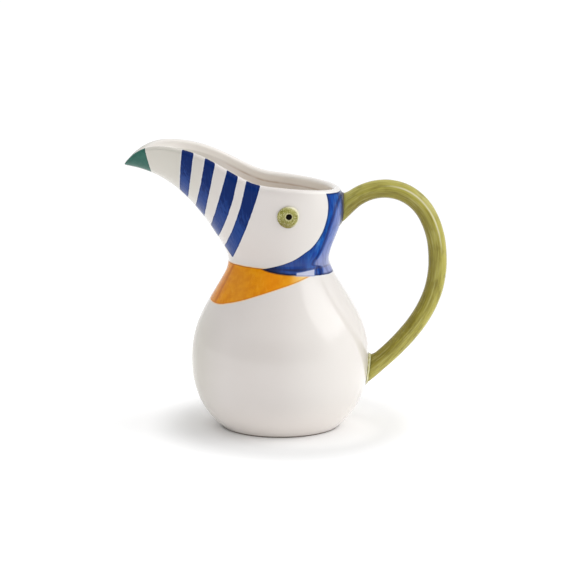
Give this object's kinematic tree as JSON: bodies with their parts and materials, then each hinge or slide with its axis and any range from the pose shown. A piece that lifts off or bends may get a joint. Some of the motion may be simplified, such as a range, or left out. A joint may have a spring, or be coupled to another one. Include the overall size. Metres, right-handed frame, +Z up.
{
  "type": "jug",
  "caption": "Bird-shaped pouring jug in glazed porcelain with a long open beak spout, a round rod handle and raised button eyes.",
  "frame": {"origin": "centre of the foot, on the axis of the bowl, at the height of the surface that the jug stands on", "axes": "+Z up; -X towards the tip of the beak and +X towards the handle; the jug is symmetric about the XZ plane, and the bird's left side faces -Y"},
  "size_m": [0.2378, 0.132, 0.2108],
  "materials": {
    "body_glaze": "glossy white glaze with painted blue stripes, a green tip, an orange collar and a blue nape patch",
    "handle_glaze": "glossy olive glaze with soft brush mottling",
    "joint_glaze": "glossy glaze pooled over the luted joint",
    "eye_glaze": "glossy olive glaze, thinner round the edge",
    "pupil_glaze": "glossy black glaze"
  },
  "bodies": {
    "root": {"body": "body_glaze", "handle": "handle_glaze", "handle_top_joint": "joint_glaze", "handle_bottom_joint": "joint_glaze", "eye_left": "eye_glaze", "eye_right": "eye_glaze", "pupil_left": "pupil_glaze", "pupil_right": "pupil_glaze"}
  },
  "joints": []
}
